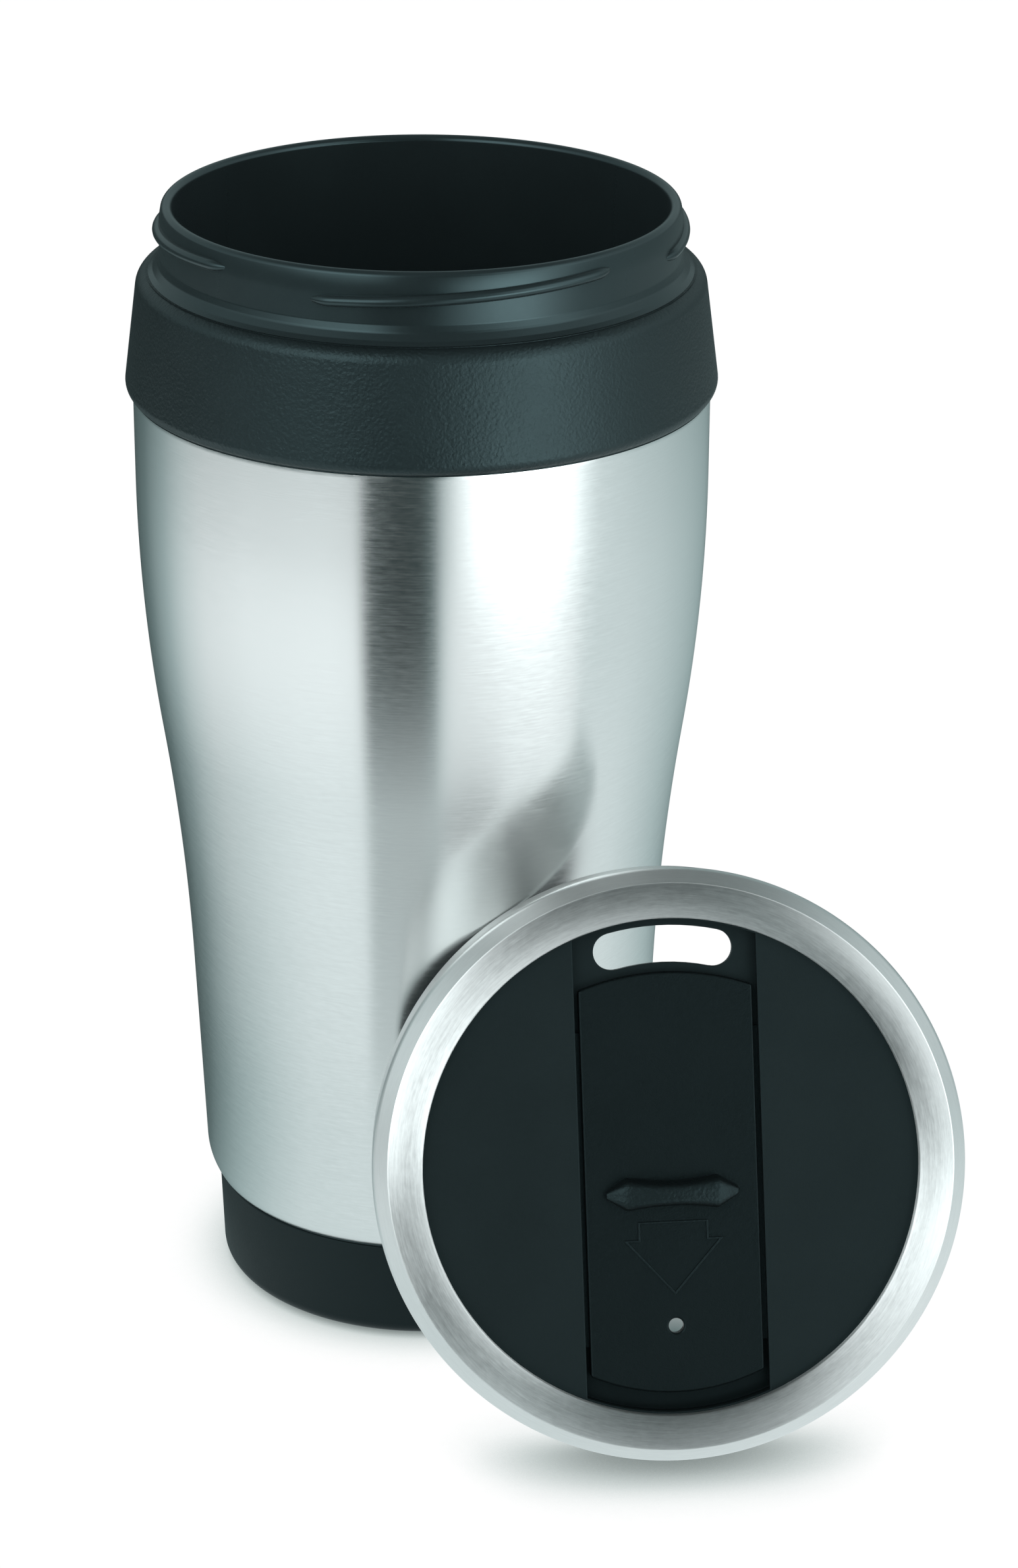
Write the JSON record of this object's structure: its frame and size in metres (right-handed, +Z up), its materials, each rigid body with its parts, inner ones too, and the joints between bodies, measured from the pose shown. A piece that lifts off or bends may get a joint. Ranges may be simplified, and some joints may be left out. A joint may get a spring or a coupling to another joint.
{
  "type": "insulated travel mug",
  "caption": "Tapered steel travel mug with plastic liner, grained grip collar, threaded neck and base; its round slider lid with steel rim stands leaning against it.",
  "frame": {"origin": "centre of the underside of the foot pad, on the mug's axis", "axes": "+Z up the mug's axis to the drinking rim; -Y is the side on which the lid stands; +X to the right when the lid is seen from the front"},
  "size_m": [0.1175, 0.1141, 0.165],
  "materials": {
    "brushed_steel": "brushed round the axis",
    "plastic_black": "smooth moulded, satin",
    "grip_grain": "fine leather grain, matte",
    "slider_grain": "fine spark-eroded grain, matte",
    "silicone": "soft matte",
    "foam": "fine closed-cell foam",
    "zinc_steel": "zinc plated"
  },
  "bodies": {
    "mug": {"liner": "plastic_black", "grip_collar": "grip_grain", "collar_seal": "silicone", "outer_shell": "brushed_steel", "insulation_sleeve": "foam", "base_seal": "silicone", "base_cup": "plastic_black", "base_screw": "zinc_steel", "foot_pad": "silicone"},
    "lid_seal": {"lid_gasket": "silicone"},
    "lid": {"lid_ring": "brushed_steel", "lid_body": "plastic_black"},
    "shutter": {"slider": "slider_grain", "slider_seal": "silicone"}
  },
  "joints": [
    {"name": "lid_rise", "type": "slide", "parent": "mug", "child": "lid_seal", "axis": [0.0588, -0.9348, 0.3502], "range_m": [0, 0.0013]},
    {"name": "lid_turn", "type": "hinge", "parent": "lid_seal", "child": "lid", "pos_m": [0.0334, -0.0448, 0.03822], "axis": [0.0588, -0.9348, 0.3502], "range_deg": [0, 45]},
    {"name": "slider_close", "type": "slide", "parent": "lid", "child": "shutter", "axis": [-0.0324, 0.3488, 0.9366], "range_m": [0, 0.0071]}
  ],
  "couplings": [
    {"joint": "lid_rise", "follows": "lid_turn", "m_per_rad": 0.0016242}
  ]
}
